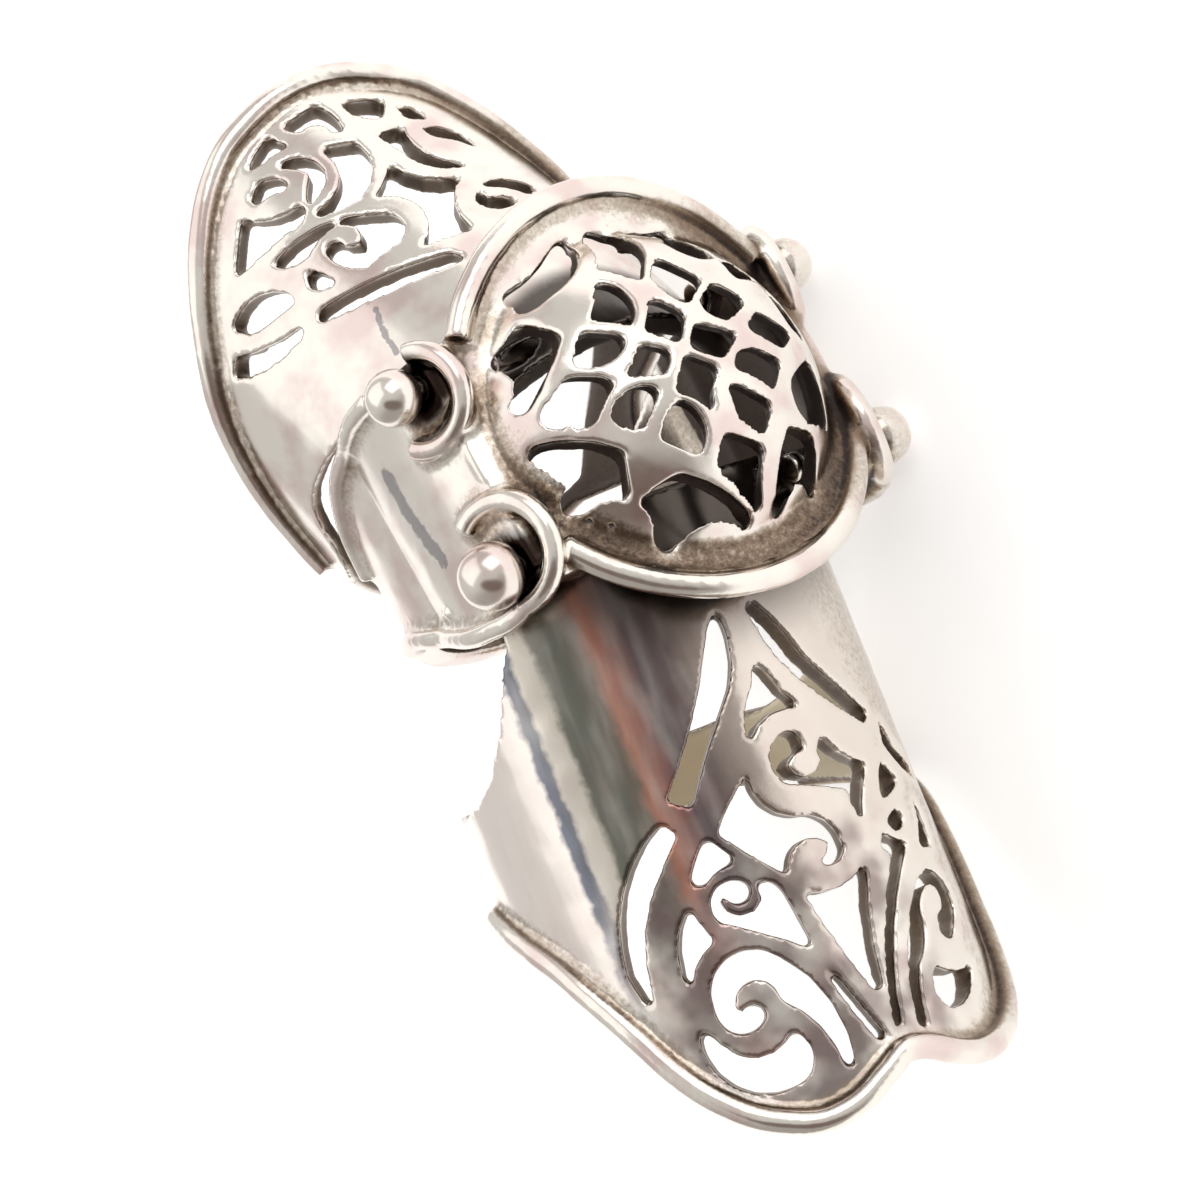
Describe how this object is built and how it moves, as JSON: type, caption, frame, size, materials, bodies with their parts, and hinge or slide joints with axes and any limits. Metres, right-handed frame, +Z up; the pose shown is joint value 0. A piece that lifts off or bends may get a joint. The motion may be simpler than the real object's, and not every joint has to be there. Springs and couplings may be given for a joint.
{
  "type": "knuckle ring",
  "caption": "Three-segment hinged silver knuckle ring: pierced scroll hand plate, domed pierced web over the knuckle and pierced fingertip plate on ball-headed rivets.",
  "frame": {"origin": "middle of the ring's box on the surface it lies on, the ring lying on its right side", "axes": "+Z up from that surface, -Y toward the fingertip, +X the way the dome faces"},
  "size_m": [0.03, 0.0592, 0.0268],
  "materials": {
    "silver": "polished, darkened in the recesses"
  },
  "bodies": {
    "knuckle": {"knuckle": "silver"},
    "hand": {"hand_plate": "silver", "rivet_hand_left": "silver", "rivet_hand_right": "silver"},
    "tip": {"tip_plate": "silver", "rivet_tip_left": "silver", "rivet_tip_right": "silver"}
  },
  "joints": [
    {"name": "hand_hinge", "type": "hinge", "parent": "knuckle", "child": "hand", "pos_m": [0.00728, 0.00942, 0.01333], "axis": [0.1557, 0, -0.9878], "range_deg": [-1, 32]},
    {"name": "tip_hinge", "type": "hinge", "parent": "knuckle", "child": "tip", "pos_m": [0.00728, -0.00038, 0.01333], "axis": [0.1557, 0, -0.9878], "range_deg": [-20, 13]}
  ]
}
